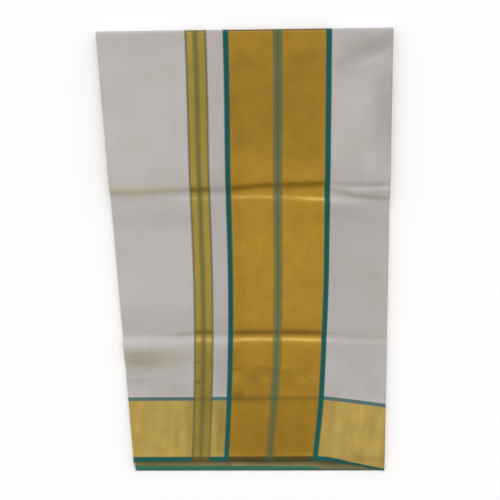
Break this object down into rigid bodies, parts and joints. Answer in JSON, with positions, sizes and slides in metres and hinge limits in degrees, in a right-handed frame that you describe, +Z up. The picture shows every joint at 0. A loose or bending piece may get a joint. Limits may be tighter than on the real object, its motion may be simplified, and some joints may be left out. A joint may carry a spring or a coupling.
{
  "type": "folded saree",
  "caption": "Cotton saree with gold-thread bands and borders, folded for storage into a flat stack and laid end panel up.",
  "frame": {"origin": "middle of the bundle's outline, on the surface it lies on", "axes": "+X towards the saree's free end, +Y towards the turned edge, +Z up out of the end panel"},
  "size_m": [0.5482, 0.884, 0.015],
  "materials": {
    "end_panel_cloth": "plain-weave cream cotton with gold and teal bands",
    "second_panel_cloth": "gold-thread border edged in teal",
    "folded_layers_cloth": "plain-weave cream cotton, layered"
  },
  "bodies": {
    "root": {"end_panel": "end_panel_cloth", "second_panel": "second_panel_cloth", "folded_layers": "folded_layers_cloth"}
  },
  "joints": []
}
